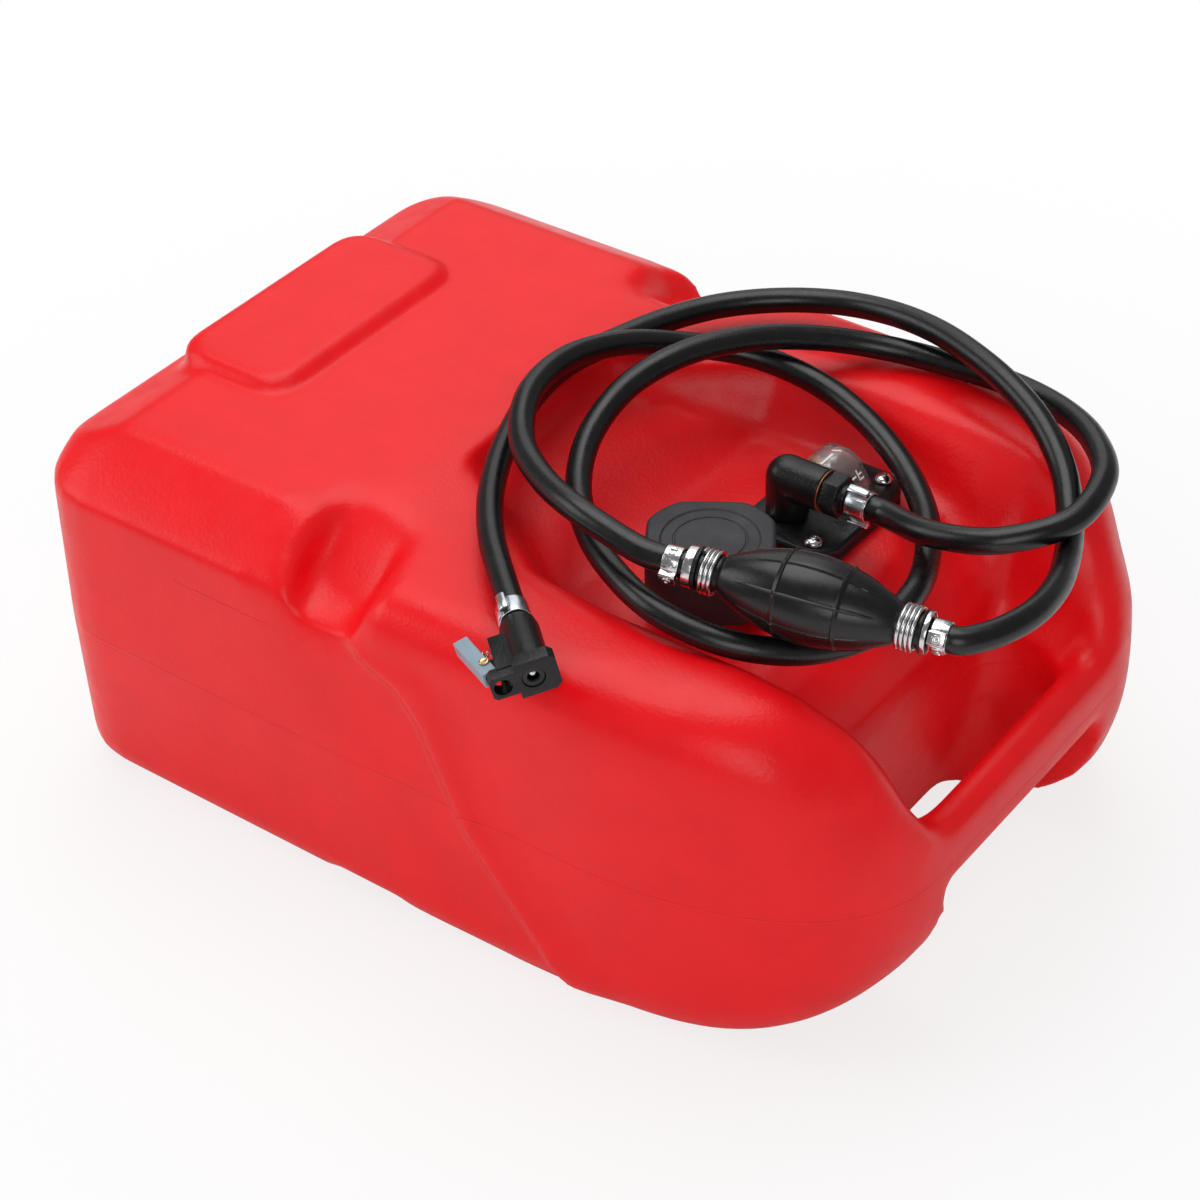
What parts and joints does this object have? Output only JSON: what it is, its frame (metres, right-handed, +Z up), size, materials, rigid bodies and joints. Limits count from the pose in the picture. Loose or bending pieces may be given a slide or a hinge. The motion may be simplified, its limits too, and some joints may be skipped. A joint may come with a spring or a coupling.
{
  "type": "outboard fuel tank",
  "caption": "Low red moulded fuel tank with a carrying handle, ratchet filler cap, float gauge, primer bulb and coiled fuel line ending in a quick connector.",
  "frame": {"origin": "floor under the middle of the tank", "axes": "+X along the tank to the carrying handle, +Z up, +Y to the side of the fuel head away from the filler cap"},
  "size_m": [0.4988, 0.3699, 0.2394],
  "materials": {
    "red_plastic": "satin with a fine pebbled grain",
    "black_plastic": "satin moulded",
    "cap_plastic": "matte moulded",
    "hose_rubber": "satin extruded",
    "seal_rubber": "matte",
    "bright_steel": "bright drawn",
    "zinc_steel": "bright zinc plated",
    "brass": "turned",
    "copper": "dull",
    "clear_plastic": "clear moulded",
    "pointer_plastic": "coloured moulded",
    "float_foam": "closed cell foam",
    "lever_plastic": "smooth"
  },
  "bodies": {
    "tank": {"connector_body": "black_plastic", "connector_clamp": "zinc_steel", "elbow_clamp": "zinc_steel", "elbow_ring": "copper", "fuel_elbow": "black_plastic", "gauge_lens": "clear_plastic", "gauge_pin": "bright_steel", "head_gasket": "seal_rubber", "head_plate": "black_plastic", "hose_barb": "black_plastic", "hose_delivery": "hose_rubber", "hose_feed": "hose_rubber", "inlet_coil_clamp": "bright_steel", "inlet_hose_clamp": "bright_steel", "inlet_ring": "bright_steel", "inlet_valve": "black_plastic", "lever_pin": "brass", "lever_spring": "bright_steel", "outlet_coil_clamp": "bright_steel", "outlet_hose_clamp": "bright_steel", "outlet_ring": "bright_steel", "outlet_valve": "black_plastic", "pickup_strainer": "brass", "pickup_tube": "black_plastic", "plate_screw_1": "bright_steel", "plate_screw_2": "bright_steel", "plate_screw_3": "bright_steel", "plate_screw_4": "bright_steel", "port_seal": "brass", "port_spring": "bright_steel", "primer_bulb": "hose_rubber", "tank_shell": "red_plastic"},
    "cap_seal": {"cap_gasket": "seal_rubber"},
    "cap_insert": {"cap_insert": "black_plastic"},
    "cap_grip": {"filler_cap": "cap_plastic"},
    "float_gauge": {"gauge_pointer": "pointer_plastic", "float_arm": "brass", "fuel_float": "float_foam"},
    "lever": {"connector_lever": "lever_plastic"},
    "port_ball": {"port_ball": "bright_steel"},
    "inlet_ball": {"inlet_valve_ball": "bright_steel"},
    "outlet_ball": {"outlet_valve_ball": "bright_steel"}
  },
  "joints": [
    {"name": "cap_lift", "type": "slide", "parent": "tank", "child": "cap_seal", "axis": [0, 0, 1], "range_m": [0, 0.05]},
    {"name": "cap_turn", "type": "hinge", "parent": "cap_seal", "child": "cap_insert", "pos_m": [0.0881, -0.0429, 0.18], "axis": [0, 0, 1], "range_deg": [0, 540]},
    {"name": "cap_ratchet", "type": "hinge", "parent": "cap_insert", "child": "cap_grip", "pos_m": [0.0881, -0.0429, 0.18], "axis": [0, 0, 1], "range_deg": [-360, 0]},
    {"name": "gauge_swing", "type": "hinge", "parent": "tank", "child": "float_gauge", "pos_m": [0.0955, 0.0495, 0.1677], "axis": [0, 1, 0], "range_deg": [0, 60]},
    {"name": "lever_press", "type": "hinge", "parent": "tank", "child": "lever", "pos_m": [0.06703, -0.18495, 0.20411], "axis": [-0.1372, -0.1562, 0.9781], "range_deg": [-10, 0], "stiffness_Nm_per_rad": 0.15, "springref_deg": 85.94, "deforming": ["lever_spring"]},
    {"name": "port_ball_slide", "type": "slide", "parent": "tank", "child": "port_ball", "axis": [-0.7511, 0.6601, 0], "range_m": [0, 0.003], "stiffness_N_per_m": 200, "springref_m": -0.001, "deforming": ["port_spring"]},
    {"name": "inlet_ball_slide", "type": "slide", "parent": "tank", "child": "inlet_ball", "axis": [0.9729, 0.226, -0.05], "range_m": [0, 0.0025]},
    {"name": "outlet_ball_slide", "type": "slide", "parent": "tank", "child": "outlet_ball", "axis": [0.9729, 0.226, -0.05], "range_m": [0, 0.0025]}
  ]
}
